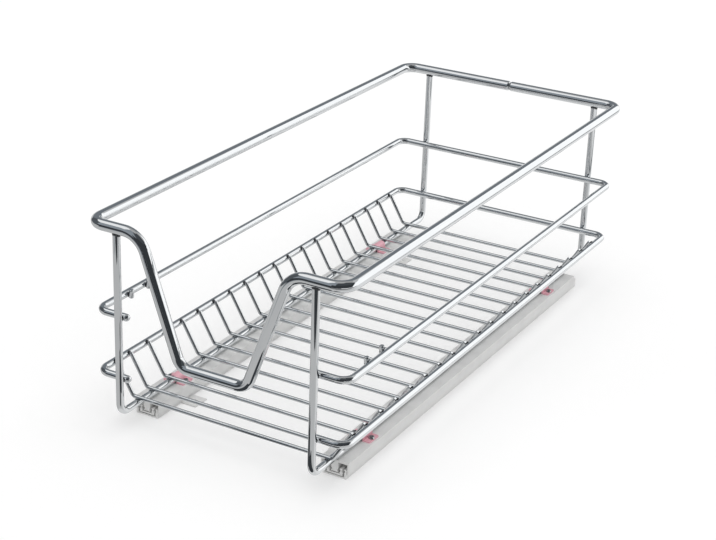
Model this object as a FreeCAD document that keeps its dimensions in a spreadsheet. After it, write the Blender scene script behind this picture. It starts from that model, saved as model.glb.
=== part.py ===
"""Pull-out wire basket on a pair of telescopic ball runners, in millimetres.

+X points right seen from the front, the front faces -Y and +Z points up. The origin is on the
cabinet floor, under the middle of the basket.
"""
import FreeCAD, Part
import Sketcher
import math
import os

Vector = FreeCAD.Vector
UP = Vector(0, 0, 1)

# Driving dimensions, one row each: alias and value.
SIZES = [
    # Top rim, measured between the rod's centre lines.
    ("rim_width", "220"),
    ("rim_depth", "498"),
    ("rim_height", "154"),
    ("rim_diameter", "9"),
    ("rim_bend", "12"),
    # Hand dip in the front bar of the rim.
    ("dip_mouth", "129.5"),
    ("dip_floor", "58.5"),
    ("dip_depth", "99"),
    ("dip_mouth_bend", "20"),
    ("dip_floor_bend", "12"),
    # Side frames: two posts and the runner rod between them.
    ("frame_diameter", "6"),
    ("frame_spacing", "172"),
    ("frame_bend", "9"),
    # Rings round the sides and the back; heights are above the runner rods' centre line.
    ("ring_diameter", "6"),
    ("ring_bend", "9"),
    ("middle_ring_height", "80"),
    ("lower_ring_height", "28"),
    ("stub_overrun", "3"),
    # Floor wires; insets are measured from the rim's front and rear bars.
    ("floor_wire_diameter", "3.4"),
    ("floor_wire_bend", "4"),
    ("floor_wire_overhang", "4.6"),
    ("front_wire_inset", "23"),
    ("front_wire_gap", "18"),
    ("rear_wire_inset", "32"),
    # Upright pegs inside the middle ring.
    ("peg_diameter", "4.2"),
    ("peg_length", "7.2"),
    ("peg_raise", "0.8"),
    ("peg_inset", "42"),
    ("peg_spacing", "22.5"),
    # Saddle clips over the runner rods and their screws.
    ("clip_width", "20"),
    ("clip_length", "14"),
    ("clip_sheet", "1"),
    ("clip_corner", "1.5"),
    ("clip_hole_spacing", "14.6"),
    ("clip_clearance", "0.15"),
    ("screw_diameter", "2.9"),
    ("screw_length", "6.5"),
    ("screw_tip", "2"),
    ("screw_head_diameter", "5.2"),
    ("screw_head_height", "1.5"),
    ("screw_recess_width", "0.8"),
    ("screw_recess_depth", "0.8"),
    ("screw_clearance", "0.15"),
    # Telescopic runners: cabinet, middle and drawer rails.
    ("rail_length", "430"),
    ("rail_height", "14"),
    ("wall_height", "8"),
    ("cabinet_web", "1.2"),
    ("cabinet_wall", "2"),
    ("middle_web", "1.2"),
    ("middle_wall", "2.4"),
    ("core_width", "6"),
    ("flange_thickness", "1.5"),
    ("lip_thickness", "1.2"),
    ("lip_height", "9.5"),
    ("lip_clearance", "0.6"),
    # Screw ears of the cabinet rails.
    ("ear_length", "14"),
    ("ear_width", "16"),
    ("ear_hole_diameter", "4.5"),
    ("ear_inset", "40"),
    # Balls and their cages.
    ("ball_diameter", "2.4"),
    ("ball_pitch", "20"),
    ("race_gap", "1.4"),
    ("race_clearance", "0.25"),
    ("cage_length", "180"),
    ("cage_sheet", "0.4"),
    ("cage_clearance", "0.3"),
    ("cage_hole_clearance", "0.15"),
    # Rubber stops at the rear end of the cabinet rails.
    ("stop_length", "8"),
    ("stop_side_clearance", "0.1"),
    ("stop_clearance", "0.3"),
    # Gap left at each weld or seat.
    ("contact_gap", "0.05"),
]

FLOOR_WIRES = 20
BALLS_PER_ROW = 8
# A clip sits behind the floor wire with this number, counted from zero at the front.
CLIP_BAYS = {"front": 2, "rear": 16}
PEGS = {"front": 0, "rear": 1}
SIDES = {"left": -1, "right": 1}

# Levels and places that follow from the sizes.
RUNNER_LEVEL = "(Size.rail_height + Size.contact_gap + Size.frame_diameter / 2)"
SEAT_ON_RUNNER = "(Size.frame_diameter / 2 + Size.contact_gap + Size.floor_wire_diameter / 2)"
RING_INSET = "(Size.frame_diameter / 2 + Size.contact_gap + Size.ring_diameter / 2)"
RING_DEPTH = f"(Size.rim_depth - 2 * {RING_INSET})"
STUB_END = "(Size.frame_spacing / 2 - Size.frame_diameter / 2 - Size.stub_overrun)"
RIM_JOINT = "((Size.rim_width + Size.dip_mouth) / 4)"

# A floor wire's raised end leans out until it touches the lower ring from inside.
FLOOR_CORNER = "(Size.frame_spacing / 2 + Size.floor_wire_overhang)"
RING_REACH = f"(Size.rim_width / 2 - {FLOOR_CORNER})"
RING_RISE = f"(Size.lower_ring_height - {SEAT_ON_RUNNER})"
RING_TOUCH = "(Size.ring_diameter / 2 + Size.contact_gap + Size.floor_wire_diameter / 2)"
WIRE_LEAN = (f"(acos({RING_TOUCH} / hypot({RING_REACH}; {RING_RISE}))"
             f" - atan2({RING_RISE}; {RING_REACH}))")
TIP_RISE = f"({RING_RISE} + Size.ring_diameter / 2)"
TIP_REACH = f"({FLOOR_CORNER} + {TIP_RISE} * tan({WIRE_LEAN}))"
WIRE_PITCH = ("((Size.rim_depth - Size.front_wire_inset - Size.front_wire_gap"
              f" - Size.rear_wire_inset) / {FLOOR_WIRES - 2})")

# Section of a runner, from the drawer rail's core outwards and from the floor upwards.
WEB_GAP = "(Size.cage_sheet + 2 * Size.cage_clearance)"
MIDDLE_BOTTOM = f"(Size.cabinet_web + {WEB_GAP})"
CORE_BOTTOM = f"({MIDDLE_BOTTOM} + Size.middle_web + {WEB_GAP})"
OUTER_CAGE_BOTTOM = "(Size.cabinet_web + Size.cage_clearance)"
INNER_CAGE_BOTTOM = f"({MIDDLE_BOTTOM} + Size.middle_web + Size.cage_clearance)"
MIDDLE_INSIDE = "(Size.core_width + 2 * Size.race_gap)"
MIDDLE_WIDTH = f"({MIDDLE_INSIDE} + 2 * Size.middle_wall)"
CABINET_INSIDE = f"({MIDDLE_WIDTH} + 2 * Size.race_gap)"
CABINET_WIDTH = f"({CABINET_INSIDE} + 2 * Size.cabinet_wall)"
FLANGE_WIDTH = f"({CABINET_WIDTH} + 2 * (Size.lip_clearance + Size.lip_thickness))"
BALL_LEVEL = f"(({CORE_BOTTOM} + Size.wall_height) / 2)"
INNER_ROW = "(Size.core_width / 2 + Size.race_gap / 2)"
OUTER_ROW = f"({MIDDLE_WIDTH} / 2 + Size.race_gap / 2)"
GROOVE = "(Size.ball_diameter + 2 * Size.race_clearance)"
SLIDER_LENGTH = "(Size.rail_length - Size.stop_length - Size.stop_clearance)"
SLIDER_CENTRE = "(-(Size.stop_length + Size.stop_clearance) / 2)"

doc = FreeCAD.newDocument("pull_out_basket")
sheet = doc.addObject("Spreadsheet::Sheet", "Size")
for row, (alias, value) in enumerate(SIZES, start=1):
    sheet.set(f"A{row}", alias)
    sheet.set(f"B{row}", value)
    sheet.setAlias(f"B{row}", alias)
doc.recompute()

nodes = []


def number(expression):
    """Value of an expression of the sheet's sizes."""
    result = sheet.evalExpression(expression)
    return float(getattr(result, "Value", result))


def bind(thing, **expressions):
    """Tie properties to the sheet; two underscores in a keyword stand for a dot."""
    for key, expression in expressions.items():
        thing.setExpression(key.replace("__", "."), expression)
    return thing


def finish(thing, label, x="0", y="0", z="0"):
    """Name a finished sub-part and put it in its place."""
    thing.Label = label
    bind(thing, Placement__Base__x=x, Placement__Base__y=y, Placement__Base__z=z)
    nodes.append(thing)


def rail_place(sign):
    """Distance of a side frame and of the rails under it along X."""
    return f"{sign} * Size.frame_spacing / 2"


# Sketches of the bent wires


def new_sketch(body, tag, plane, lift="0"):
    """Sketch on one of the body's own origin planes, lifted along that plane's normal."""
    planes = {feature.Role: feature for feature in body.Origin.OriginFeatures}
    sketch = body.newObject("Sketcher::SketchObject", f"{body.Name}_{tag}")
    sketch.AttachmentSupport = [(planes[plane], "")]
    sketch.MapMode = "FlatFace"
    return bind(sketch, AttachmentOffset__Base__z=lift)


def set_size(sketch, constraint, name, expression):
    """Add a dimension and tie it to the sheet."""
    index = sketch.addConstraint(constraint)
    sketch.renameConstraint(index, name)
    sketch.setExpression(f"Constraints.{name}", expression)


def hold_point(sketch, geometry, end, place, name):
    """Fix a point of the sketch at a place given by two expressions."""
    for kind, axis, expression in (("DistanceX", -2, place[0]), ("DistanceY", -1, place[1])):
        if expression == "0":
            sketch.addConstraint(Sketcher.Constraint("PointOnObject", geometry, end, axis))
        else:
            distance = Sketcher.Constraint(kind, -1, 1, geometry, end, number(expression))
            set_size(sketch, distance, name + kind[-1], expression)


def draw_bend(before, corner, after, radius):
    """Arc that rounds a corner, its two tangent points and whether it turns left."""
    incoming = (corner - before).normalize()
    outgoing = (after - corner).normalize()
    half_turn = incoming.getAngle(outgoing) / 2
    reach = radius * math.tan(half_turn)
    centre = corner + (outgoing - incoming).normalize() * (radius / math.cos(half_turn))
    turns_left = incoming.cross(outgoing).z > 0
    tangents = (corner - incoming * reach, corner + outgoing * reach)
    first, last = tangents if turns_left else tangents[::-1]
    start = math.atan2(first.y - centre.y, first.x - centre.x)
    sweep = math.atan2(last.y - centre.y, last.x - centre.x) - start
    arc = Part.ArcOfCircle(Part.Circle(centre, UP, radius), start, start + sweep % (2 * math.pi))
    return arc, tangents, turns_left


def draw_path(sketch, stops, bends):
    """Straight runs through the stops, with a tangent arc at each inner stop."""
    points = [Vector(number(u), number(v), 0) for u, v in stops]
    corners = range(1, len(points) - 1)
    drawn = [draw_bend(*points[i - 1:i + 2], number(bends[i - 1])) for i in corners]
    starts = [points[0]] + [tangents[1] for _, tangents, _ in drawn]
    ends = [tangents[0] for _, tangents, _ in drawn] + [points[-1]]
    runs = [sketch.addGeometry(Part.LineSegment(*pair)) for pair in zip(starts, ends)]
    for i, (arc, _, turns_left) in enumerate(drawn):
        bend = sketch.addGeometry(arc)
        entry, leave = (1, 2) if turns_left else (2, 1)
        sketch.addConstraint(Sketcher.Constraint("Tangent", runs[i], 2, bend, entry))
        sketch.addConstraint(Sketcher.Constraint("Tangent", bend, leave, runs[i + 1], 1))
        set_size(sketch, Sketcher.Constraint("Radius", bend, number(bends[i])), f"bend{i}", bends[i])
        corner = sketch.addGeometry(Part.Point(points[i + 1]))
        sketch.addConstraint(Sketcher.Constraint("PointOnObject", corner, 1, runs[i]))
        sketch.addConstraint(Sketcher.Constraint("PointOnObject", corner, 1, runs[i + 1]))
        hold_point(sketch, corner, 1, stops[i + 1], f"corner{i}")
    hold_point(sketch, runs[0], 1, stops[0], "start")
    hold_point(sketch, runs[-1], 2, stops[-1], "finish")


def draw_circle(sketch, centre, diameter):
    """Circle at a place given by two expressions."""
    middle = Vector(number(centre[0]), number(centre[1]), 0)
    circle = sketch.addGeometry(Part.Circle(middle, UP, number(diameter) / 2))
    hold_point(sketch, circle, 3, centre, "centre")
    set_size(sketch, Sketcher.Constraint("Diameter", circle, number(diameter)), "round", diameter)


def add_rod(body, tag, path_plane, stops, bends, section_plane, diameter, lift="0"):
    """Round rod along a bent path; its section lies where the path leaves the mirror plane."""
    path = new_sketch(body, f"{tag}_path", path_plane, lift)
    draw_path(path, stops, bends)
    section = new_sketch(body, f"{tag}_section", section_plane)
    across, height = stops[0]
    if path_plane == "XY_Plane":
        across, height = height, lift
    draw_circle(section, (across, height), diameter)
    doc.recompute()
    rod = body.newObject("PartDesign::AdditivePipe", f"{body.Name}_{tag}")
    rod.Profile = (section, [""])
    rod.Spine = (path, [""])
    doc.recompute()


def mirror_body(body, plane):
    """Complete a half body by its mirror image."""
    planes = {feature.Role: feature for feature in body.Origin.OriginFeatures}
    mirrored = body.newObject("PartDesign::Mirrored", f"{body.Name}_whole")
    mirrored.TransformMode = "Whole shape"
    mirrored.MirrorPlane = (planes[plane], [""])
    body.Tip = mirrored
    doc.recompute()


# The basket


def make_top_rim():
    """Closed rim with the hand dip; the halves meet at the weld in the rear bar."""
    body = doc.addObject("PartDesign::Body", "top_rim")
    half_width = "Size.rim_width / 2"
    loop = [("0", "Size.rim_depth"), (half_width, "Size.rim_depth"), (half_width, "0"), (RIM_JOINT, "0")]
    add_rod(body, "loop", "XY_Plane", loop, ["Size.rim_bend"] * 2, "YZ_Plane",
            "Size.rim_diameter", lift="Size.dip_depth")
    dip = [("0", "0"), ("Size.dip_floor / 2", "0"), ("Size.dip_mouth / 2", "Size.dip_depth"),
           (RIM_JOINT, "Size.dip_depth")]
    add_rod(body, "dip", "XZ_Plane", dip, ["Size.dip_floor_bend", "Size.dip_mouth_bend"],
            "YZ_Plane", "Size.rim_diameter")
    mirror_body(body, "YZ_Plane")
    finish(body, "top_rim", y="-Size.rim_depth / 2",
           z=f"{RUNNER_LEVEL} + Size.rim_height - Size.dip_depth")


def make_side_frame(side, sign):
    """Front post, runner and rear post in one rod, the posts coped to the rim's underside."""
    body = doc.addObject("PartDesign::Body", f"side_frame_{side}")
    half_depth = "Size.rim_depth / 2"
    rod = [("0", "0"), (half_depth, "0"), (half_depth, "Size.rim_height")]
    add_rod(body, "rod", "YZ_Plane", rod, ["Size.frame_bend"], "XZ_Plane", "Size.frame_diameter")
    uncut = body.Shape.Volume
    cope = new_sketch(body, "cope", "YZ_Plane")
    draw_circle(cope, (half_depth, "Size.rim_height"), "Size.rim_diameter + 2 * Size.contact_gap")
    doc.recompute()
    cut = body.newObject("PartDesign::Pocket", f"{body.Name}_coped")
    cut.Profile = cope
    cut.SideType = "Symmetric"
    bind(cut, Length="2 * Size.frame_diameter")
    doc.recompute()
    if body.Shape.Volume >= uncut:
        raise RuntimeError("the post's cope cuts nothing")
    mirror_body(body, "XZ_Plane")
    finish(body, f"side_frame_{side}", x=rail_place(sign), z=RUNNER_LEVEL)


def make_ring(label, height):
    """Ring round the sides and the back, with stubs that end behind the front posts."""
    body = doc.addObject("PartDesign::Body", label)
    half_width = "Size.rim_width / 2"
    rod = [("0", RING_DEPTH), (half_width, RING_DEPTH), (half_width, "0"), (STUB_END, "0")]
    add_rod(body, "rod", "XY_Plane", rod, ["Size.ring_bend"] * 2, "YZ_Plane", "Size.ring_diameter")
    mirror_body(body, "YZ_Plane")
    finish(body, label, y=f"-{RING_DEPTH} / 2", z=f"{RUNNER_LEVEL} + {height}")


def floor_wire_place(index):
    """Distance of a floor wire along Y, the front wire being number 0."""
    place = "-Size.rim_depth / 2 + Size.front_wire_inset"
    if index > 0:
        place += f" + Size.front_wire_gap + {index - 1} * {WIRE_PITCH}"
    return place


def make_floor_wire(index):
    """Wire across both runners, its ends raised to the lower ring."""
    label = f"floor_wire_{index + 1:02d}"
    body = doc.addObject("PartDesign::Body", label)
    rod = [("0", "0"), (FLOOR_CORNER, "0"), (TIP_REACH, TIP_RISE)]
    add_rod(body, "rod", "XZ_Plane", rod, ["Size.floor_wire_bend"], "YZ_Plane",
            "Size.floor_wire_diameter")
    mirror_body(body, "YZ_Plane")
    finish(body, label, y=floor_wire_place(index), z=f"{RUNNER_LEVEL} + {SEAT_ON_RUNNER}")


# Solids with straight edges


def block(name, size, centre=("0", "0"), bottom="0"):
    """Box centred in plan, standing on its bottom level."""
    solid = doc.addObject("Part::Box", name)
    bind(solid, Length=size[0], Width=size[1], Height=size[2])
    bind(solid, Placement__Base__x=f"{centre[0]} - ({size[0]}) / 2")
    return bind(solid, Placement__Base__y=f"{centre[1]} - ({size[1]}) / 2", Placement__Base__z=bottom)


def rounded_plate(name, size, corner):
    """Blocks and corner discs that make up a flat plate with rounded corners, centred in plan."""
    width, length, thickness = size
    solids = [block(f"{name}_wide", (width, f"{length} - 2 * {corner}", thickness)),
              block(f"{name}_long", (f"{width} - 2 * {corner}", length, thickness))]
    for side, x_way in SIDES.items():
        for end, y_way in (("front", -1), ("rear", 1)):
            place = (f"{x_way} * ({width} / 2 - {corner})", f"{y_way} * ({length} / 2 - {corner})", "0")
            solids.append(round_bar(f"{name}_corner_{side}_{end}", "z", f"2 * {corner}", thickness, place))
    return solids


TURNS = {
    "x": FreeCAD.Rotation(Vector(0, 1, 0), 90),
    "y": FreeCAD.Rotation(Vector(1, 0, 0), -90),
    "z": FreeCAD.Rotation(),
}


def round_bar(name, axis, diameter, length, start):
    """Cylinder along an axis from its start point."""
    solid = doc.addObject("Part::Cylinder", name)
    solid.Placement = FreeCAD.Placement(Vector(), TURNS[axis])
    bind(solid, Radius=f"({diameter}) / 2", Height=length)
    x, y, z = start
    return bind(solid, Placement__Base__x=x, Placement__Base__y=y, Placement__Base__z=z)


def joined(name, solids):
    """Union of several solids."""
    union = doc.addObject("Part::MultiFuse", name)
    union.Shapes = solids
    return union


def trimmed(name, base, tools):
    """A solid with the tools cut out of it."""
    cut = doc.addObject("Part::Cut", name)
    cut.Base = base
    cut.Tool = tools[0] if len(tools) == 1 else joined(f"{name}_tools", tools)
    return cut


def make_peg(side, sign, end, index):
    """Short upright peg with crowned ends, welded to the inside of the middle ring."""
    label = f"peg_{side}_{end}"
    half = "Size.peg_length / 2"
    rod = round_bar(f"{label}_rod", "z", "Size.peg_diameter", "Size.peg_length", ("0", "0", f"-{half}"))
    crown = bind(doc.addObject("Part::Sphere", f"{label}_crown"), Radius=half)
    peg = doc.addObject("Part::MultiCommon", f"{label}_solid")
    peg.Shapes = [rod, crown]
    seat = "(Size.ring_diameter / 2 + Size.contact_gap + Size.peg_diameter / 2)"
    finish(peg, label, x=f"{sign} * (Size.rim_width / 2 - {seat})",
           y=f"-Size.rim_depth / 2 + Size.peg_inset + {index} * Size.peg_spacing",
           z=f"{RUNNER_LEVEL} + Size.middle_ring_height + Size.peg_raise")


# Clips and screws


def clip_place(end):
    """Distance of a clip along Y, halfway between two floor wires."""
    return f"{floor_wire_place(CLIP_BAYS[end])} + {WIRE_PITCH} / 2"


def screw_holes(name, y, bottom, depth):
    """Pair of holes for the screws of one clip."""
    diameter = "Size.screw_diameter + 2 * Size.screw_clearance"
    return [round_bar(f"{name}_hole_{side}", "z", diameter, depth,
                      (f"{sign} * Size.clip_hole_spacing / 2", y, bottom))
            for side, sign in SIDES.items()]


def make_clip(side, sign, end):
    """Saddle of sheet over the runner rod, with a screw hole in each foot."""
    label = f"saddle_clip_{side}_{end}"
    rod_level = "(Size.contact_gap + Size.frame_diameter / 2)"
    inside = "(Size.frame_diameter + 2 * Size.clip_clearance)"
    outside = f"({inside} + 2 * Size.clip_sheet)"
    length = "Size.clip_length"
    start = ("0", f"-{length} / 2", rod_level)
    foot_size = ("Size.clip_width", length, "Size.clip_sheet")
    feet = rounded_plate(f"{label}_feet", foot_size, "Size.clip_corner")
    legs = block(f"{label}_legs", (outside, length, rod_level))
    arch = round_bar(f"{label}_arch", "y", outside, length, start)
    under = block(f"{label}_under", (outside, length, outside), bottom=f"-{outside}")
    slot = block(f"{label}_slot", (inside, length, rod_level))
    bore = round_bar(f"{label}_bore", "y", inside, length, start)
    holes = screw_holes(label, "0", "0", "Size.clip_sheet")
    clip = trimmed(label, joined(f"{label}_sheet", feet + [legs, arch]), [under, slot, bore] + holes)
    finish(clip, label, x=rail_place(sign), y=clip_place(end), z="Size.rail_height")


def make_screw(name, place):
    """Pointed screw with a crossed recess, its head's underside at the given place."""
    shank_length = "(Size.screw_length - Size.screw_tip)"
    shank = round_bar(f"{name}_shank", "z", "Size.screw_diameter", shank_length,
                      ("0", "0", f"-{shank_length}"))
    tip = bind(doc.addObject("Part::Cone", f"{name}_tip"), Radius1="0", Radius2="Size.screw_diameter / 2",
               Height="Size.screw_tip", Placement__Base__z="-Size.screw_length")
    head = bind(doc.addObject("Part::Cone", f"{name}_head"), Radius1="Size.screw_head_diameter / 2",
                Radius2="(Size.screw_head_diameter + Size.screw_diameter) / 4",
                Height="Size.screw_head_height")
    level = "Size.screw_head_height - Size.screw_recess_depth"
    arms = ("Size.screw_diameter", "Size.screw_recess_width", "Size.screw_recess_depth")
    cross = [block(f"{name}_slot_long", arms, bottom=level),
             block(f"{name}_slot_wide", (arms[1], arms[0], arms[2]), bottom=level)]
    screw = trimmed(name, joined(f"{name}_solid", [head, shank, tip]), cross)
    x, y, z = place
    return bind(screw, Placement__Base__x=x, Placement__Base__y=y, Placement__Base__z=z)


def make_clip_screws():
    """All clip screws, grouped as one node."""
    screws = []
    for side, sign in SIDES.items():
        for end in CLIP_BAYS:
            for name, way in SIDES.items():
                place = (f"{rail_place(sign)} + {way} * Size.clip_hole_spacing / 2",
                         clip_place(end), "Size.rail_height + Size.clip_sheet")
                screws.append(make_screw(f"screw_{side}_{end}_{name}", place))
    group = doc.addObject("Part::Compound", "clip_screws")
    group.Links = screws
    finish(group, "clip_screws")


# Telescopic runners


def grooves(name, row, length, centre="0"):
    """Pair of ball grooves along a rail, one on each side of its middle."""
    return [round_bar(f"{name}_{side}", "y", GROOVE, length,
                      (f"{sign} * {row}", f"{centre} - {length} / 2", BALL_LEVEL))
            for side, sign in SIDES.items()]


def make_cabinet_rail(side, sign):
    """Channel on the cabinet floor with two screw ears towards the middle of the drawer."""
    label = f"cabinet_rail_{side}"
    length = "Size.rail_length"
    web = "Size.cabinet_web"
    solids = [block(f"{label}_bar", (CABINET_WIDTH, length, "Size.wall_height"))]
    cuts = [block(f"{label}_hollow", (CABINET_INSIDE, length, "Size.wall_height"), bottom=web)]
    cuts += grooves(f"{label}_race", OUTER_ROW, length)
    for end, way in (("front", -1), ("rear", 1)):
        x = f"{-sign} * ({CABINET_WIDTH} + Size.ear_length) / 2"
        y = f"{way} * (Size.rail_length / 2 - Size.ear_inset)"
        solids.append(block(f"{label}_ear_{end}", ("Size.ear_length", "Size.ear_width", web), (x, y)))
        cuts.append(round_bar(f"{label}_hole_{end}", "z", "Size.ear_hole_diameter", web, (x, y, "0")))
    finish(trimmed(label, joined(f"{label}_solid", solids), cuts), label, x=rail_place(sign))


def make_middle_rail(side, sign):
    """Channel that runs between the cabinet rail's walls and carries the drawer rail."""
    label = f"middle_rail_{side}"
    centre = ("0", SLIDER_CENTRE)
    height = f"Size.wall_height - {MIDDLE_BOTTOM}"
    bar = block(f"{label}_bar", (MIDDLE_WIDTH, SLIDER_LENGTH, height), centre, MIDDLE_BOTTOM)
    cuts = [block(f"{label}_hollow", (MIDDLE_INSIDE, SLIDER_LENGTH, "Size.wall_height"), centre,
                  f"{MIDDLE_BOTTOM} + Size.middle_web")]
    cuts += grooves(f"{label}_outer_race", OUTER_ROW, SLIDER_LENGTH, SLIDER_CENTRE)
    cuts += grooves(f"{label}_inner_race", INNER_ROW, SLIDER_LENGTH, SLIDER_CENTRE)
    finish(trimmed(label, bar, cuts), label, x=rail_place(sign))


def make_drawer_rail(side, sign):
    """Rail that runs in the middle rail; its flange carries the basket, its lips cover the balls."""
    label = f"drawer_rail_{side}"
    centre = ("0", SLIDER_CENTRE)
    sheet_thickness = "Size.flange_thickness"
    core_size = ("Size.core_width", SLIDER_LENGTH, f"Size.rail_height - {CORE_BOTTOM}")
    core = block(f"{label}_core", core_size, centre, CORE_BOTTOM)
    flange_bottom = f"Size.rail_height - {sheet_thickness}"
    flange = block(f"{label}_flange", (FLANGE_WIDTH, SLIDER_LENGTH, sheet_thickness), centre, flange_bottom)
    solids = [core, flange]
    for name, way in SIDES.items():
        lip_size = ("Size.lip_thickness", SLIDER_LENGTH, "Size.lip_height")
        lip_centre = (f"{way} * ({FLANGE_WIDTH} - Size.lip_thickness) / 2", SLIDER_CENTRE)
        lip_bottom = "Size.rail_height - Size.lip_height"
        solids.append(block(f"{label}_lip_{name}", lip_size, lip_centre, lip_bottom))
    cuts = grooves(f"{label}_race", INNER_ROW, SLIDER_LENGTH, SLIDER_CENTRE)
    for end in CLIP_BAYS:
        cuts += screw_holes(f"{label}_{end}", clip_place(end), flange_bottom, sheet_thickness)
    finish(trimmed(label, joined(f"{label}_solid", solids), cuts), label, x=rail_place(sign))


def ball_place(index):
    """Distance of a ball along Y from the middle of its cage."""
    return f"{index - (BALLS_PER_ROW - 1) / 2} * Size.ball_pitch"


def make_cage(side, sign, level, row, bottom):
    """Bent strip that holds two rows of balls apart."""
    label = f"{level}_cage_{side}"
    length = "Size.cage_length"
    wing_height = f"(Size.wall_height - Size.cage_clearance - {bottom})"
    sheet_thickness = "Size.cage_sheet"
    web_size = (f"2 * {row} + {sheet_thickness}", length, sheet_thickness)
    strips = [block(f"{label}_web", web_size, bottom=bottom)]
    for name, way in SIDES.items():
        wing_size = (sheet_thickness, length, wing_height)
        strips.append(block(f"{label}_wing_{name}", wing_size, (f"{way} * {row}", "0"), bottom))
    reach = f"({row} + {sheet_thickness})"
    holes = [round_bar(f"{label}_hole_{i + 1}", "x", "Size.ball_diameter + 2 * Size.cage_hole_clearance",
                       f"2 * {reach}", (f"-{reach}", ball_place(i), BALL_LEVEL))
             for i in range(BALLS_PER_ROW)]
    finish(trimmed(label, joined(f"{label}_strip", strips), holes), label, x=rail_place(sign))


def make_balls(side, sign, level, row):
    """Both rows of balls of one cage, grouped as one node."""
    label = f"{level}_balls_{side}"
    balls = []
    for name, way in SIDES.items():
        for i in range(BALLS_PER_ROW):
            ball = doc.addObject("Part::Sphere", f"{label}_{name}_{i + 1}")
            bind(ball, Radius="Size.ball_diameter / 2", Placement__Base__x=f"{way} * {row}")
            balls.append(bind(ball, Placement__Base__y=ball_place(i), Placement__Base__z=BALL_LEVEL))
    group = doc.addObject("Part::Compound", label)
    group.Links = balls
    finish(group, label, x=rail_place(sign))


def make_rear_stop(side, sign):
    """Rubber block in the rear end of the cabinet rail, behind the two sliding rails."""
    label = f"rear_stop_{side}"
    width = f"({CABINET_INSIDE} - 2 * Size.stop_side_clearance)"
    stop = block(label, (width, "Size.stop_length", "Size.wall_height - Size.cabinet_web"))
    finish(stop, label, x=f"{rail_place(sign)} - {width} / 2",
           y="Size.rail_length / 2 - Size.stop_length", z="Size.cabinet_web")


make_top_rim()
make_ring("middle_ring", "Size.middle_ring_height")
make_ring("lower_ring", "Size.lower_ring_height")
for wire in range(FLOOR_WIRES):
    make_floor_wire(wire)
for side_name, side_sign in SIDES.items():
    make_side_frame(side_name, side_sign)
    for peg_name, peg_index in PEGS.items():
        make_peg(side_name, side_sign, peg_name, peg_index)
    for clip_end in CLIP_BAYS:
        make_clip(side_name, side_sign, clip_end)
    make_cabinet_rail(side_name, side_sign)
    make_middle_rail(side_name, side_sign)
    make_drawer_rail(side_name, side_sign)
    make_cage(side_name, side_sign, "outer", OUTER_ROW, OUTER_CAGE_BOTTOM)
    make_balls(side_name, side_sign, "outer", OUTER_ROW)
    make_cage(side_name, side_sign, "inner", INNER_ROW, INNER_CAGE_BOTTOM)
    make_balls(side_name, side_sign, "inner", INNER_ROW)
    make_rear_stop(side_name, side_sign)
make_clip_screws()
doc.recompute()

failed = [thing.Name for thing in doc.Objects if {"Invalid", "Error"} & set(thing.State)]
if failed:
    raise RuntimeError(f"objects that failed: {failed}")
for node in nodes:
    if node.Shape.isNull() or not node.Shape.isValid():
        raise RuntimeError(f"no valid shape: {node.Label}")

os.makedirs("parts", exist_ok=True)
for node in nodes:
    node.Shape.exportStep(f"parts/{node.Label}.step")
    print(f"{node.Label}: {len(node.Shape.Solids)} solids, {node.Shape.Volume:.1f} mm3")
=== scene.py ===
"""Looks of the pull-out wire basket: plated rods, welds, clips, runners and a studio round them."""
import math

import bmesh
import bpy
from mathutils import Matrix, Vector, noise


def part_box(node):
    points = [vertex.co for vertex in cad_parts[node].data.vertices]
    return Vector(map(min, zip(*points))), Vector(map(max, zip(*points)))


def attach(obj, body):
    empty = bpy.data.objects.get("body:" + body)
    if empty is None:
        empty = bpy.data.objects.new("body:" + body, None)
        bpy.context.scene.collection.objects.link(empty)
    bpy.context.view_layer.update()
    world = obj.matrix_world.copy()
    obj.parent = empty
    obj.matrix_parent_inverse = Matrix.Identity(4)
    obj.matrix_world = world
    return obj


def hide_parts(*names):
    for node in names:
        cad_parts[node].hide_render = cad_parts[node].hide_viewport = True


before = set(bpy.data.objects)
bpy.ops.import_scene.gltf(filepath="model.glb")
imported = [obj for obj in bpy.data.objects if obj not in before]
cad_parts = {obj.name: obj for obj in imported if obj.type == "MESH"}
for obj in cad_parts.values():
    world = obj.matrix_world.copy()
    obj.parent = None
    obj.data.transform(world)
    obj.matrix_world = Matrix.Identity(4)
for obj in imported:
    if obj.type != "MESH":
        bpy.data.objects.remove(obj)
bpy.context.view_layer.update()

MM = 0.001
WHITE = (1.0, 1.0, 1.0, 1.0)
SIDES = {"left": -1, "right": 1}
ENDS = ("front", "rear")
RINGS = ("middle_ring", "lower_ring")
FLOOR_WIRES = sorted(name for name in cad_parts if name.startswith("floor_wire_"))

# Rods: half their diameters, and the bends and dip that the boxes of the CAD nodes don't give.
RIM_RADIUS = 4.5 * MM
ROD_RADIUS = 3.0 * MM
WIRE_RADIUS = 1.7 * MM
RIM_BEND = 12 * MM
DIP_MOUTH = 129.5 * MM
DIP_FLOOR = 58.5 * MM
DIP_MOUTH_BEND = 20 * MM
DIP_FLOOR_BEND = 12 * MM
FRAME_BEND = 9 * MM
RING_BEND = 9 * MM
STUB_OVERRUN = 3 * MM
WIRE_OVERHANG = 4.6 * MM
WIRE_BEND = 4 * MM
CONTACT_GAP = 0.05 * MM

# Meshes of the rods: steps round a bend, sides of a cross-section, rounding of the ends.
BEND_STEP = math.radians(6)
RIM_SIDES = 32
ROD_SIDES = 28
WIRE_SIDES = 20
EDGE_ROUND = 0.5 * MM
EDGE_STEPS = 3
SEAM_ROUND = 2.0 * MM
PEG_ROUND = 1.0 * MM
DOME_STEPS = 8
DOME_END = math.radians(84)
# Straight runs get a cross-section this close to each end, which keeps their reflections straight.
GUARD = 0.4 * MM
LONG_RUN = 4 * MM
# Resistance welding sinks the floor wires and pegs a little into the rods that they touch.
WELD_SINK = 0.7 * MM

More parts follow.
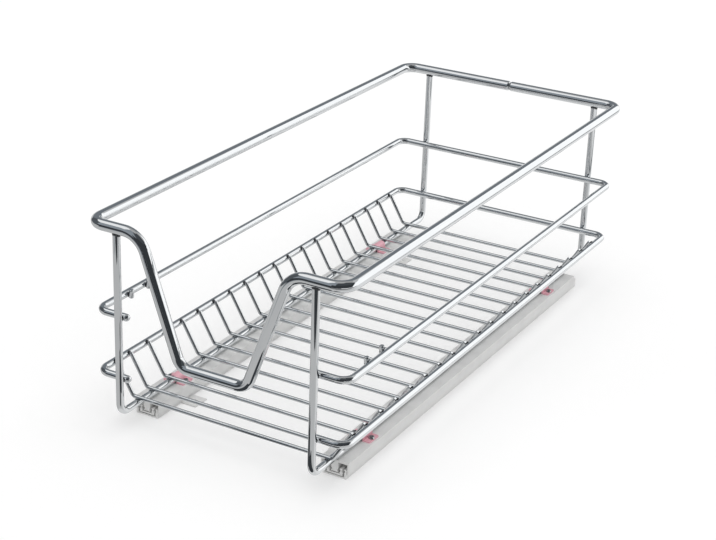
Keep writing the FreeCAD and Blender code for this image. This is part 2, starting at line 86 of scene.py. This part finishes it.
rim_low, rim_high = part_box("top_rim")
rim_half = rim_high.x - RIM_RADIUS
rim_rear = rim_high.y - RIM_RADIUS
rim_front = rim_low.y + RIM_RADIUS
rim_level = rim_high.z - RIM_RADIUS
dip_level = rim_low.z + RIM_RADIUS
frame_low, frame_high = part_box("side_frame_right")
frame_x = (frame_low.x + frame_high.x) / 2
runner_level = frame_low.z + ROD_RADIUS
post_rear = frame_high.y - ROD_RADIUS
post_front = frame_low.y + ROD_RADIUS


# Materials


# Places on a colour ramp between which a noise goes from one value to the other.
STOPS = (0.3, 0.7)
UNSTRETCHED = (1.0, 1.0, 1.0)


class Nodes:
    """Shorthand for building one material's node tree."""

    def __init__(self, name):
        self.material = bpy.data.materials.new(name)
        self.material.use_nodes = True
        self.tree = self.material.node_tree
        self.shader = self.tree.nodes["Principled BSDF"]

    def add(self, kind, **values):
        """New node; keywords set its input sockets of that name, or else its properties."""
        node = self.tree.nodes.new(kind)
        for key, value in values.items():
            if key in node.inputs:
                node.inputs[key].default_value = value
            else:
                setattr(node, key, value)
        return node

    def join(self, source, target):
        self.tree.links.new(source, target)

    def set(self, **values):
        """Constant values on the shader's own sockets."""
        for key, value in values.items():
            self.shader.inputs[key.replace("_", " ")].default_value = value

    def coordinates(self, output="Object", stretch=UNSTRETCHED):
        """Texture coordinates, stretched by a scale along each axis."""
        source = self.add("ShaderNodeTexCoord")
        mapping = self.add("ShaderNodeMapping", Scale=stretch)
        self.join(source.outputs[output], mapping.inputs["Vector"])
        return mapping.outputs["Vector"]

    def noise(self, vector, scale, detail):
        node = self.add("ShaderNodeTexNoise", Scale=scale, Detail=detail)
        self.join(vector, node.inputs["Vector"])
        return node.outputs["Fac"]

    def ramp(self, value, ends, stops=STOPS):
        """Colour ramp between two colours or grey levels."""
        node = self.add("ShaderNodeValToRGB")
        for element, place, colour in zip(node.color_ramp.elements, stops, ends):
            element.position = place
            if not hasattr(colour, "__len__"):
                colour = (colour,) * 3
            element.color = (*colour, 1.0)
        self.join(value, node.inputs["Fac"])
        return node.outputs["Color"]

    def bump(self, height, strength, distance):
        node = self.add("ShaderNodeBump", Strength=strength, Distance=distance)
        self.join(height, node.inputs["Height"])
        self.join(node.outputs["Normal"], self.shader.inputs["Normal"])

    def colour(self, socket):
        self.join(socket, self.shader.inputs["Base Color"])

    def roughness(self, socket):
        self.join(socket, self.shader.inputs["Roughness"])


# Plating: its textures run round and along the rods.
PLATE_TONES = ((0.69, 0.71, 0.725), (0.73, 0.745, 0.755))
PLATE_GLOSS = (0.025, 0.07)
PLATE_GLOSS_STOPS = (0.35, 0.75)
PATCH_STRETCH = (60.0, 14.0, 1.0)
RIPPLE_STRETCH = (300.0, 14.0, 1.0)


def chrome_material():
    """Bright plating over drawn wire: long faint ripples, a little haze in patches."""
    n = Nodes("chrome_plate")
    n.set(Metallic=1.0)
    patches = n.coordinates("UV", PATCH_STRETCH)
    haze = n.noise(patches, scale=2.0, detail=4.0)
    dulling = n.noise(patches, scale=5.0, detail=3.0)
    ripple = n.noise(n.coordinates("UV", RIPPLE_STRETCH), scale=1.0, detail=2.0)
    n.colour(n.ramp(haze, PLATE_TONES))
    n.roughness(n.ramp(dulling, PLATE_GLOSS, PLATE_GLOSS_STOPS))
    n.bump(ripple, strength=0.02, distance=0.1 * MM)
    return n.material


def grained_material(name, tones, gloss, clouds, grain, bump, stretch=UNSTRETCHED, **shader):
    """Cloudy colour between two tones, and a finer grain for the roughness and the bump.

    clouds and grain are scale and detail of a noise, bump is a strength and a depth in millimetres.
    """
    n = Nodes(name)
    n.set(**shader)
    fine = n.noise(n.coordinates(stretch=stretch), *grain)
    n.colour(n.ramp(n.noise(n.coordinates(), *clouds), tones))
    n.roughness(n.ramp(fine, gloss))
    strength, depth = bump
    n.bump(fine, strength, depth * MM)
    return n.material


def weld_material(name, *tones):
    """Plated weld metal: duller and rougher than the rods."""
    grain = (1500.0, 3.0)
    return grained_material(name, tones, gloss=(0.2, 0.4), clouds=grain, grain=grain,
                            bump=(0.3, 0.15), Metallic=1.0)


def zinc_material(name, tones, gloss):
    """Zinc-plated steel drawn along Y: fine lines, cloudy lustre."""
    return grained_material(name, tones, gloss, clouds=(90.0, 4.0), grain=(1.0, 2.0),
                            bump=(0.08, 0.05), stretch=(2600.0, 12.0, 2600.0), Metallic=1.0)


def enamel_material():
    """Pink satin enamel on the clips, slightly thinner and paler in patches."""
    return grained_material("pink_enamel", tones=((0.79, 0.39, 0.46), (0.85, 0.46, 0.53)),
                            gloss=(0.32, 0.45), clouds=(140.0, 3.0), grain=(1800.0, 1.0),
                            bump=(0.12, 0.05), Coat_Weight=0.35, Coat_Roughness=0.12)


def coat_material():
    """White powder coat on the rails, with the fine orange peel that it sets with."""
    return grained_material("white_powder_coat", tones=((0.78, 0.78, 0.775), (0.84, 0.84, 0.83)),
                            gloss=(0.36, 0.5), clouds=(60.0, 3.0), grain=(1300.0, 1.0),
                            bump=(0.15, 0.06), Specular_IOR_Level=0.4)


def rubber_material():
    """Moulded black rubber with a fine grain."""
    grain = (2200.0, 2.0)
    return grained_material("black_rubber", tones=((0.02, 0.02, 0.021), (0.04, 0.04, 0.042)),
                            gloss=(0.6, 0.8), clouds=grain, grain=grain, bump=(0.4, 0.1))


CHROME = chrome_material()
WELD = weld_material("weld_metal", (0.16, 0.165, 0.17), (0.34, 0.35, 0.355))
# Near-black weld nuggets and collars: partly the dark weld metal, partly painted shade in the
# creases where rods meet.
WELD_WITH_PAINTED_SHADE = weld_material("weld_with_painted_shade", (0.04, 0.042, 0.046), (0.13, 0.135, 0.14))
ENAMEL = enamel_material()
RAIL = coat_material()
SCREW = zinc_material("screw_zinc", ((0.42, 0.42, 0.43), (0.56, 0.56, 0.57)), (0.2, 0.35))
CAGE = zinc_material("cage_steel", ((0.5, 0.5, 0.51), (0.6, 0.6, 0.61)), (0.25, 0.4))
BALL = zinc_material("ball_steel", ((0.6, 0.6, 0.61), (0.68, 0.68, 0.69)), (0.04, 0.09))
RUBBER = rubber_material()


# Rods


def bent_line(stops, radius):
    """Points along straight runs, an arc at each inner stop; radius is one value or one a bend."""
    stops = [Vector(stop) for stop in stops]
    points = [stops[0]]
    for i in range(1, len(stops) - 1):
        bend = radius[i - 1] if hasattr(radius, "__len__") else radius
        incoming = (stops[i] - stops[i - 1]).normalized()
        outgoing = (stops[i + 1] - stops[i]).normalized()
        turn = incoming.angle(outgoing)
        inward = (outgoing - incoming).normalized()
        centre = stops[i] + inward * bend / math.cos(turn / 2)
        start = stops[i] - incoming * bend * math.tan(turn / 2) - centre
        axis = incoming.cross(outgoing).normalized()
        steps = max(2, round(turn / BEND_STEP))
        points += [centre + Matrix.Rotation(turn * k / steps, 3, axis) @ start
                   for k in range(steps + 1)]
    return points + [stops[-1]]


def tube_rings(points, radius, rounding):
    """Centre, tangent and radius of each cross-section, the ends rounded in small steps."""
    tangents = []
    for i in range(len(points)):
        before = points[max(i - 1, 0)]
        after = points[min(i + 1, len(points) - 1)]
        tangents.append((after - before).normalized())
    rings = [(p, t, radius) for p, t in zip(points[1:-1], tangents[1:-1])]
    domed = rounding > EDGE_ROUND
    steps, last = (DOME_STEPS, DOME_END) if domed else (EDGE_STEPS, math.pi / 2)
    arc = [last * k / steps for k in range(steps + 1)]
    for end, tangent, inwards in ((points[0], tangents[0], 1), (points[-1], tangents[-1], -1)):
        cap = [(end + tangent * inwards * rounding * (1 - math.sin(a)), tangent,
                radius - rounding * (1 - math.cos(a))) for a in arc]
        rings = cap[::-1] + rings if inwards > 0 else rings + cap
    guarded = [rings[0]]
    for (start, _, _), ring in zip(rings, rings[1:]):
        run = ring[0] - start
        if run.length > LONG_RUN:
            straight = run.normalized()
            guarded.append((start + straight * GUARD, straight, radius))
            guarded.append((ring[0] - straight * GUARD, straight, radius))
        guarded.append(ring)
    return guarded


def tube_mesh(bm, points, radius, sides, rounding=EDGE_ROUND):
    """Smooth round tube along points, with texture coordinates in metres, added to a mesh."""
    layer = bm.loops.layers.uv.verify()
    rings = tube_rings(points, radius, rounding)
    tangent = rings[0][1]
    across = tangent.orthogonal().normalized()
    angles = [2 * math.pi * k / sides for k in range(sides)]
    rows = []
    length = 0.0
    lengths = []
    for i, (centre, direction, size) in enumerate(rings):
        across = tangent.rotation_difference(direction) @ across
        across = (across - direction * across.dot(direction)).normalized()
        tangent = direction
        other = direction.cross(across)
        if i:
            length += (centre - rings[i - 1][0]).length
        lengths.append(length)
        rows.append([bm.verts.new(centre + (across * math.cos(a) + other * math.sin(a)) * size)
                     for a in angles])
    girth = 2 * math.pi * radius
    for i in range(len(rows) - 1):
        for k in range(sides):
            nxt = (k + 1) % sides
            face = bm.faces.new((rows[i][k], rows[i][nxt], rows[i + 1][nxt], rows[i + 1][k]))
            face.smooth = True
            turns = (k, k + 1, k + 1, k)
            for loop, turn, run in zip(face.loops, turns, (i, i, i + 1, i + 1)):
                loop[layer].uv = (girth * turn / sides, lengths[run])
    close_ends(bm, rows)


def close_ends(bm, rows):
    """Flat faces over the first and last row of points."""
    bm.faces.new(rows[0][::-1])
    bm.faces.new(rows[-1])


def make_piece(name, bm, material, body, slot, *replaced):
    """Turn a mesh into a piece of the object, riding on a body."""
    mesh = bpy.data.meshes.new(name)
    bmesh.ops.recalc_face_normals(bm, faces=bm.faces)
    bm.to_mesh(mesh)
    bm.free()
    mesh.materials.append(material)
    piece = bpy.data.objects.new(name, mesh)
    bpy.context.scene.collection.objects.link(piece)
    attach(piece, body)
    if replaced:
        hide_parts(*replaced)


def make_rod(name, node, points, radius, sides, rounding=EDGE_ROUND):
    """Smooth plated rod in place of a CAD node."""
    bm = bmesh.new()
    tube_mesh(bm, points, radius, sides, rounding)
    make_piece(name, bm, CHROME, "drawer", "chrome", node)


def make_rim():
    """Rim, bent from one rod whose ends meet at the seam in the rear bar."""
    seam = (0, rim_rear, rim_level)
    half = [(rim_half, rim_rear, rim_level), (rim_half, rim_front, rim_level),
            (DIP_MOUTH / 2, rim_front, rim_level), (DIP_FLOOR / 2, rim_front, dip_level)]
    mirrored = [(-x, y, z) for x, y, z in reversed(half)]
    bends = [RIM_BEND, RIM_BEND, DIP_MOUTH_BEND, DIP_FLOOR_BEND]
    line = bent_line([seam] + half + mirrored + [seam], bends + bends[::-1])
    make_rod("rim_rod", "top_rim", line, RIM_RADIUS, RIM_SIDES, SEAM_ROUND)


def make_side_frame(side, sign):
    """Front post, runner and rear post in one rod, the posts run into the rim."""
    x = sign * frame_x
    stops = [(x, post_front, rim_level), (x, post_front, runner_level),
             (x, post_rear, runner_level), (x, post_rear, rim_level)]
    make_rod(f"side_frame_rod_{side}", f"side_frame_{side}", bent_line(stops, FRAME_BEND),
             ROD_RADIUS, ROD_SIDES)


def ring_lines(node):
    """Half width, front, rear and level of a ring's centre line."""
    low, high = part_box(node)
    level = (low.z + high.z) / 2
    return high.x - ROD_RADIUS, low.y + ROD_RADIUS, high.y - ROD_RADIUS, level


def make_ring(node):
    """Ring round the sides and the back, its domed stubs ending behind the front posts."""
    half, front, rear, level = ring_lines(node)
    stub = frame_x - ROD_RADIUS - STUB_OVERRUN
    stops = [(-stub, front, level), (-half, front, level), (-half, rear, level),
             (half, rear, level), (half, front, level), (stub, front, level)]
    make_rod(f"{node}_rod", node, bent_line(stops, RING_BEND), ROD_RADIUS, ROD_SIDES, ROD_RADIUS)


def floor_wire_ends():
    """Level, corner, tip and lean of a floor wire, whose ends lean out to the lower ring."""
    half, _, _, level = ring_lines("lower_ring")
    floor = runner_level + ROD_RADIUS + CONTACT_GAP + WIRE_RADIUS
    corner = frame_x + WIRE_OVERHANG
    reach = half - corner
    rise = level - floor
    touch = ROD_RADIUS + CONTACT_GAP + WIRE_RADIUS
    lean = math.acos(touch / math.hypot(reach, rise)) - math.atan2(rise, reach)
    top = rise + ROD_RADIUS
    tip = (corner + top * math.tan(lean), floor + top - WELD_SINK)
    return floor - WELD_SINK, corner, tip, lean


def middle(node):
    """Middle of a CAD node's box."""
    low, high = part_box(node)
    return (low + high) / 2


def make_floor_wire(node):
    """Wire across the runners with raised ends."""
    floor, corner, (tip_x, tip_z), _ = floor_wire_ends()
    y = middle(node).y
    stops = [(-tip_x, y, tip_z), (-corner, y, floor), (corner, y, floor), (tip_x, y, tip_z)]
    make_rod(f"{node}_rod", node, bent_line(stops, WIRE_BEND), WIRE_RADIUS, WIRE_SIDES)


def make_peg(node):
    """Short upright peg with well rounded ends, sunk a little into the middle ring's inside."""
    low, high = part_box(node)
    centre = (low + high) / 2
    x = centre.x + math.copysign(WELD_SINK / 2, centre.x)
    line = [Vector((x, centre.y, z)) for z in (low.z, centre.z, high.z)]
    make_rod(f"{node}_rod", node, line, (high.x - low.x) / 2, ROD_SIDES, PEG_ROUND)


# Welds


BEAD_WAVE = 0.12
BEAD_GRAIN = 900.0
BEAD_DETAIL = 3
# Half sizes of the nuggets: along the one rod, across it, and along the contact normal.
CROSSING_BEAD = (2.5 * MM, 2.2 * MM, 1.0 * MM)
TIP_BEAD = (1.9 * MM, 2.1 * MM, 0.9 * MM)
RING_BEAD = (2.6 * MM, 2.6 * MM, 1.1 * MM)
PEG_BEAD = (2.4 * MM, 2.2 * MM, 0.9 * MM)


def bead(bm, place, along, normal, sizes):
    """Uneven weld nugget squeezed out between two rods."""
    place = Vector(place)
    normal = Vector(normal).normalized()
    along = Vector(along).normalized()
    turn = Matrix((along, normal.cross(along), normal)).transposed()
    made = bmesh.ops.create_icosphere(bm, subdivisions=BEAD_DETAIL, radius=1.0)
    for vert in made["verts"]:
        offset = turn @ Vector(u * size for u, size in zip(vert.co, sizes))
        swell = 1 + BEAD_WAVE * noise.noise((place + offset) * BEAD_GRAIN)
        vert.co = place + offset * swell
    for face in {f for v in made["verts"] for f in v.link_faces}:
        face.smooth = True


def make_floor_welds():
    """A nugget at each crossing of a floor wire with a runner and at each tip on the lower ring."""
    bm = bmesh.new()
    floor, _, _, lean = floor_wire_ends()
    half, _, _, level = ring_lines("lower_ring")
    for node in FLOOR_WIRES:
        y = middle(node).y
        for sign in SIDES.values():
            crossing = (sign * frame_x, y, floor - WIRE_RADIUS)
            bead(bm, crossing, (1, 0, 0), (0, 0, 1), CROSSING_BEAD)
            inwards = Vector((-sign * math.cos(lean), 0, math.sin(lean)))
            tip = Vector((sign * half, y, level)) + inwards * ROD_RADIUS
            bead(bm, tip, (0, 1, 0), inwards, TIP_BEAD)
    make_piece("floor_wire_welds", bm, WELD_WITH_PAINTED_SHADE, "drawer", "chrome")


def make_ring_welds():
    """Nuggets between the rings and the posts that they touch."""
    bm = bmesh.new()
    for node in RINGS:
        _, front, rear, level = ring_lines(node)
        for sign in SIDES.values():
            for y in ((front + post_front) / 2, (rear + post_rear) / 2):
                bead(bm, (sign * frame_x, y, level), (1, 0, 0), (0, 1, 0), RING_BEAD)
    make_piece("ring_welds", bm, WELD_WITH_PAINTED_SHADE, "drawer", "chrome")


def make_peg_welds():
    """Nuggets between the pegs and the middle ring."""
    bm = bmesh.new()
    half, _, _, level = ring_lines("middle_ring")
    for side, sign in SIDES.items():
        for end in ENDS:
            place = (sign * (half - ROD_RADIUS), middle(f"peg_{side}_{end}").y, level)
            bead(bm, place, (0, 1, 0), (1, 0, 0), PEG_BEAD)
    make_piece("peg_welds", bm, WELD_WITH_PAINTED_SHADE, "drawer", "chrome")


def smooth_shell(bm, rows):
    """Smooth closed shell through rows of points."""
    count = len(rows[0])
    for lower, upper in zip(rows, rows[1:]):
        for k in range(count):
            nxt = (k + 1) % count
            bm.faces.new((lower[k], lower[nxt], upper[nxt], upper[k])).smooth = True
    close_ends(bm, rows)


# Section of the fillet weld: distance from the post's axis and height above the rim's underside, in
# millimetres.
COLLAR = [(3.0, -1.7), (3.12, -1.5), (3.2, -0.9), (3.25, -0.4), (3.35, 0.3)]
COLLAR_SIDES = 32


def collar(bm, x, y):
    """Fillet weld round a post's top, following the underside of the rim; its near-black colour
    paints the shaded crease under the rim.
    """
    rows = []
    for reach, height in COLLAR:
        row = []
        for k in range(COLLAR_SIDES):
            angle = 2 * math.pi * k / COLLAR_SIDES
            side = reach * MM * math.sin(angle)
            under = rim_level - math.sqrt(RIM_RADIUS ** 2 - side ** 2)
            spot = Vector((x + math.cos(angle), y + math.sin(angle), height))
            z = under + height * MM + BEAD_WAVE * MM * noise.noise(spot)
            row.append(bm.verts.new((x + reach * MM * math.cos(angle), y + side, z)))
        rows.append(row)
    smooth_shell(bm, rows)


def make_post_welds():
    """Fillet welds where the posts meet the rim, dark as painted shade in that crease."""
    bm = bmesh.new()
    for sign in SIDES.values():
        for y in (post_front, post_rear):
            collar(bm, sign * frame_x, y)
    make_piece("post_welds", bm, WELD_WITH_PAINTED_SHADE, "drawer", "chrome")


# Section of the seam: distance from the joint and depth below the rim's surface, in millimetres.
SEAM = [(-1.1, 1.5), (-0.7, 1.0), (0.0, 0.8), (0.7, 1.0), (1.1, 1.5)]
SEAM_WAVE = 0.25 * MM
SEAM_GRAIN = 450.0


def make_seam():
    """Uneven bead of weld metal in the groove where the rim's two ends meet."""
    bm = bmesh.new()
    rows = []
    for width, depth in SEAM:
        row = []
        for k in range(RIM_SIDES):
            angle = 2 * math.pi * k / RIM_SIDES
            outwards = Vector((0, math.cos(angle), math.sin(angle)))
            axis = Vector((width * MM, rim_rear, rim_level))
            place = axis + outwards * (RIM_RADIUS - depth * MM)
            wave = outwards * SEAM_WAVE * noise.noise(place * SEAM_GRAIN)
            row.append(bm.verts.new(place + wave))
        rows.append(row)
    smooth_shell(bm, rows)
    make_piece("rim_seam", bm, WELD, "drawer", "chrome")


# CAD nodes that stay: clips, screws and runners


BEVEL_STEPS = 2
BEVEL_ANGLE = math.radians(40)
# Material and width of the broken edges by the start of a node's name; none for the balls.
DRESSED = {
    "saddle_clip": (ENAMEL, 0.2 * MM),
    "clip_screws": (SCREW, 0.12 * MM),
    "cabinet_rail": (RAIL, 0.2 * MM),
    "middle_rail": (RAIL, 0.15 * MM),
    "drawer_rail": (RAIL, 0.2 * MM),
    "outer_cage": (CAGE, 0.08 * MM),
    "inner_cage": (CAGE, 0.08 * MM),
    "outer_balls": (BALL, 0),
    "inner_balls": (BALL, 0),
    "rear_stop": (RUBBER, 0.5 * MM),
}


def dress(piece, material, edge):
    """Give a CAD node its material and softly broken edges."""
    piece.data.materials.clear()
    piece.data.materials.append(material)
    if not edge:
        return
    bevel = piece.modifiers.new("broken_edges", "BEVEL")
    bevel.width = edge
    bevel.segments = BEVEL_STEPS
    bevel.limit_method = "ANGLE"
    bevel.angle_limit = BEVEL_ANGLE
    bevel.harden_normals = True


def dress_cad_nodes():
    """Materials of everything that keeps its CAD mesh."""
    for node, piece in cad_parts.items():
        for start, (material, edge) in DRESSED.items():
            if node.startswith(start):
                dress(piece, material, edge)


make_rim()
for ring_node in RINGS:
    make_ring(ring_node)
for wire_node in FLOOR_WIRES:
    make_floor_wire(wire_node)
for side_name, side_sign in SIDES.items():
    make_side_frame(side_name, side_sign)
    for peg_end in ENDS:
        make_peg(f"peg_{side_name}_{peg_end}")
make_floor_welds()
make_ring_welds()
make_post_welds()
make_peg_welds()
make_seam()
dress_cad_nodes()


# Studio


FLOOR_SIZE = 14.0
TENT_RADIUS = 3.0
NEARER = TENT_RADIUS - 0.1
TENT_STEP = 5
ALL_ROUND = (-180, 180)
COOL = (0.91, 1.0, 1.1, 1.0)
# Cards below this strength are cool.
DIM = 0.4
# Tent of cards that only reflections see: bearings from the back (0) to the right (90) and heights
# above the horizon, in degrees, the strength, and the distance where it isn't the tent's own.
CARDS = {
    "right_softbox_low": ((2, 93), (-4, 11), 1.32),
    "right_softbox_middle": ((2, 88), (11, 20), 1.32),
    "right_softbox_upper": ((2, 80), (20, 30), 1.32),
    "right_softbox_top": ((2, 70), (30, 40), 1.32),
    "right_ceiling": ((2, 60), (40, 58), 0.62),
    "back_left_wall": ((-74, 2), (-4, 12), 0.7),
    "back_left_flag": ((-74, 2), (12, 58), 0.22),
    "left_flag": ((-132, -74), (-4, 44), 0.11),
    "overhead_left": ((-145, -74), (44, 78), 1.08),
    "overhead_right": ((-74, 60), (58, 78), 0.42),
    "front_flag": ((93, 228), (-4, 14), 0.05),
    "front_wall_low": ((190, 228), (14, 32), 0.34),
    "front_wall": ((172, 228), (32, 44), 0.34),
    "front_ceiling": ((172, 215), (44, 78), 0.32),
    "dark_room_low": ((88, 190), (11, 20), 0.05),
    "dark_room_middle": ((80, 190), (20, 32), 0.05),
    "dark_room_upper": ((70, 172), (30, 40), 0.05),
    "dark_room_ceiling": ((60, 172), (40, 78), 0.08),
    "zenith": (ALL_ROUND, (78, 90), 0.5),
    "front_floor": ((145, 222), (-11, -4), 0.05, NEARER),
    "front_left_shade": ((200, 222), (-18, -11), 0.28, NEARER),
    "right_floor": ((75, 145), (-16, -4), 0.9, NEARER),
    "nadir": (ALL_ROUND, (-90, -52), 0.8),
}


def emission_material(name, strength):
    """Plain glow; strength is a number or a function that adds the nodes for it."""
    n = Nodes(name)
    n.tree.nodes.remove(n.shader)
    glow = n.add("ShaderNodeEmission", Color=WHITE)
    if callable(strength):
        n.join(strength(n), glow.inputs["Strength"])
    else:
        glow.inputs["Strength"].default_value = strength
        glow.inputs["Color"].default_value = COOL if strength < DIM else WHITE
    n.join(glow.outputs["Emission"], n.tree.nodes["Material Output"].inputs["Surface"])
    return n.material


def stage_object(name, bm, material):
    """Object of the studio, which isn't part of the drawer."""
    mesh = bpy.data.meshes.new(name)
    bm.to_mesh(mesh)
    bm.free()
    mesh.materials.append(material)
    obj = bpy.data.objects.new(name, mesh)
    bpy.context.scene.collection.objects.link(obj)
    return obj


def add_card(name, bm, strength):
    """Glowing card that only reflections see."""
    card = stage_object(name, bm, emission_material(name, strength))
    card.visible_camera = False
    card.visible_diffuse = False
    card.visible_transmission = False
    card.visible_shadow = False


def spaced(limits, count):
    """Angles from the first to the last limit in equal steps, in radians."""
    first, last = limits
    return [math.radians(first + (last - first) * i / count) for i in range(count + 1)]


def make_card(name, bearings, heights, strength, radius=TENT_RADIUS):
    """Patch of a sphere round the object."""
    columns, rows = (max(1, round((last - first) / TENT_STEP))
                     for first, last in (bearings, heights))
    bm = bmesh.new()
    grid = []
    for height in spaced(heights, rows):
        flat = math.cos(height)
        grid.append([bm.verts.new(Vector((math.sin(bearing) * flat, math.cos(bearing) * flat,
                                          math.sin(height))) * radius)
                     for bearing in spaced(bearings, columns)])
    for lower, upper in zip(grid, grid[1:]):
        for i in range(columns):
            bm.faces.new((lower[i], lower[i + 1], upper[i + 1], upper[i]))
    add_card(name, bm, strength)


# The table as the plating sees it: brighter towards the light, ending at a front edge.
TABLE_BEARING = math.radians(25)
TABLE_RAMP = (0.0, TENT_RADIUS)
TABLE_GLOW = (0.58, 0.94)
TABLE_HEIGHTS = (-52, -4)
EDGE_BEARING = math.radians(148)
EDGE_DISTANCE = 0.503
EDGE_WIDTH = 0.17
EDGE_REACH = 3.5
FLOOR_CARD_GLOW = 0.05
FLOOR_CARD_LIFT = 0.6 * MM
# Outlines on the floor in millimetres: a painted shadow in front of and under the basket's front,
# and a painted dark streak to its right that the right rim bar reflects.
FRONT_SHADE = [(-60, -264), (-20, -284), (-14, -248), (8, -241), (34, -246), (56, -274), (84, -256),
               (103, -249), (112, -255), (121, -282), (113, -298), (104, -318), (90, -322),
               (76, -316), (62, -306), (25, -348), (-30, -330), (-60, -292)]
PAINTED_SIDE_STREAK = [(365, 250), (415, 250), (460, 900), (460, 1600), (330, 1600), (330, 900)]


def table_glow(n):
    """Strength that rises towards the right and the back."""
    place = n.add("ShaderNodeTexCoord")
    along = n.add("ShaderNodeVectorMath", operation="DOT_PRODUCT")
    along.inputs[1].default_value = (math.sin(TABLE_BEARING), math.cos(TABLE_BEARING), 0.0)
    n.join(place.outputs["Object"], along.inputs[0])
    rise = n.add("ShaderNodeMapRange", interpolation_type="SMOOTHSTEP")
    sockets = ("From Min", "From Max", "To Min", "To Max")
    for socket, value in zip(sockets, TABLE_RAMP + TABLE_GLOW):
        rise.inputs[socket].default_value = value
    n.join(along.outputs["Value"], rise.inputs["Value"])
    return rise.outputs["Result"]


def floor_card(name, outline):
    """Dark card lying on the floor."""
    bm = bmesh.new()
    bm.faces.new([bm.verts.new((x, y, FLOOR_CARD_LIFT)) for x, y in outline])
    add_card(name, bm, FLOOR_CARD_GLOW)


def make_table():
    """Pale bowl below the horizon, a dark front edge, a painted shadow and a painted dark streak.
    """
    make_card("table_bowl", ALL_ROUND, TABLE_HEIGHTS, table_glow)
    outwards = Vector((math.sin(EDGE_BEARING), math.cos(EDGE_BEARING)))
    sideways = Vector((outwards.y, -outwards.x)) * EDGE_REACH
    near = outwards * EDGE_DISTANCE
    far = near + outwards * EDGE_WIDTH
    edge = [near - sideways, near + sideways, far + sideways, far - sideways]
    floor_card("table_front", edge)
    # Dark cards that paint shade into the reflections only: the basket's shadow in front of it, and
    # a dark streak to the right.
    for name, outline in (("front_shade", FRONT_SHADE), ("painted_side_streak", PAINTED_SIDE_STREAK)):
        floor_card(name, [(x * MM, y * MM) for x, y in outline])


def seen_rays(tree):
    """Socket that is 1 for what the camera sees, also in a mirror or through glass."""
    path = tree.nodes.new("ShaderNodeLightPath")
    seen = path.outputs["Is Camera Ray"]
    for kind in ("Is Glossy Ray", "Is Transmission Ray"):
        either = tree.nodes.new("ShaderNodeMath")
        either.operation = "MAXIMUM"
        tree.links.new(seen, either.inputs[0])
        tree.links.new(path.outputs[kind], either.inputs[1])
        seen = either.outputs["Value"]
    return seen


FLOOR_TONES = (0.75, 0.77)
CAMERA_GLOW = 0.27


def floor_material():
    """Plain white studio floor; what the camera sees is lifted to white and keeps its shadows."""
    n = Nodes("studio_floor")
    n.set(Roughness=0.9, Specular_IOR_Level=0.0, Emission_Color=WHITE)
    n.colour(n.ramp(n.noise(n.coordinates(), scale=3.0, detail=2.0), FLOOR_TONES))
    lift = n.add("ShaderNodeMath", operation="MULTIPLY")
    lift.inputs[1].default_value = CAMERA_GLOW
    n.join(seen_rays(n.tree), lift.inputs[0])
    n.join(lift.outputs["Value"], n.shader.inputs["Emission Strength"])
    return n.material


def make_floor():
    """Floor that the plating doesn't see, because the table stands for it there."""
    bm = bmesh.new()
    bmesh.ops.create_grid(bm, x_segments=1, y_segments=1, size=FLOOR_SIZE / 2)
    stage_object("studio_floor", bm, floor_material()).visible_glossy = False


AMBIENT = 0.75


def make_world():
    """White surround: strength 1 where it is seen, less where it only lights."""
    world = bpy.data.worlds.new("studio_world")
    bpy.context.scene.world = world
    world.use_nodes = True
    tree = world.node_tree
    back = tree.nodes["Background"]
    back.inputs["Color"].default_value = WHITE
    strength = tree.nodes.new("ShaderNodeMapRange")
    strength.inputs["To Min"].default_value = AMBIENT
    strength.inputs["To Max"].default_value = 1.0
    tree.links.new(seen_rays(tree), strength.inputs["Value"])
    tree.links.new(strength.outputs["Result"], back.inputs["Strength"])


KEY_STRENGTH = 0.8
KEY_ANGLE = math.radians(70)
KEY_FROM = Vector((0.5, -0.4, 2.0))


def make_key():
    """Broad soft key overhead; its light is for the enamel, coats, rubber and floor."""
    data = bpy.data.lights.new("overhead_key", "SUN")
    data.angle = KEY_ANGLE
    data.energy = KEY_STRENGTH
    key = bpy.data.objects.new("overhead_key", data)
    bpy.context.scene.collection.objects.link(key)
    key.location = KEY_FROM
    key.rotation_euler = (-KEY_FROM).to_track_quat("-Z", "Y").to_euler()
    key.visible_camera = False
    key.visible_glossy = False


# The photograph's camera, fitted to points along the rods and to the floor wires' left ends.
EYE = Vector((633.06, -1178.25, 644.44)) * MM
VIEW_AZIMUTH = math.radians(28.979)
VIEW_ELEVATION = math.radians(23.273)
VIEW_ROLL = math.radians(-2.162)
FOCAL_PIXELS = 1705.16
IMAGE_WIDTH = 716
SENSOR_MM = 36.0
FAR_CLIP = 50.0


def make_camera():
    """Camera at the photograph's viewing angle."""
    data = bpy.data.cameras.new("photo_camera")
    data.sensor_fit = "HORIZONTAL"
    data.sensor_width = SENSOR_MM
    data.lens = FOCAL_PIXELS * SENSOR_MM / IMAGE_WIDTH
    data.clip_end = FAR_CLIP
    camera = bpy.data.objects.new("photo_camera", data)
    bpy.context.scene.collection.objects.link(camera)
    flat = math.cos(VIEW_ELEVATION)
    forward = Vector((-math.sin(VIEW_AZIMUTH) * flat, math.cos(VIEW_AZIMUTH) * flat,
                      -math.sin(VIEW_ELEVATION)))
    right = Vector((math.cos(VIEW_AZIMUTH), math.sin(VIEW_AZIMUTH), 0.0))
    down = forward.cross(right)
    rolled = right * math.cos(VIEW_ROLL) + down * math.sin(VIEW_ROLL)
    up = right * math.sin(VIEW_ROLL) - down * math.cos(VIEW_ROLL)
    turn = Matrix((rolled, up, -forward)).transposed().to_4x4()
    camera.matrix_world = Matrix.Translation(EYE) @ turn
    bpy.context.scene.camera = camera


make_floor()
make_table()
make_world()
make_key()
make_camera()
for card_name, card in CARDS.items():
    make_card(card_name, *card)
bpy.context.scene.view_settings.view_transform = "Standard"
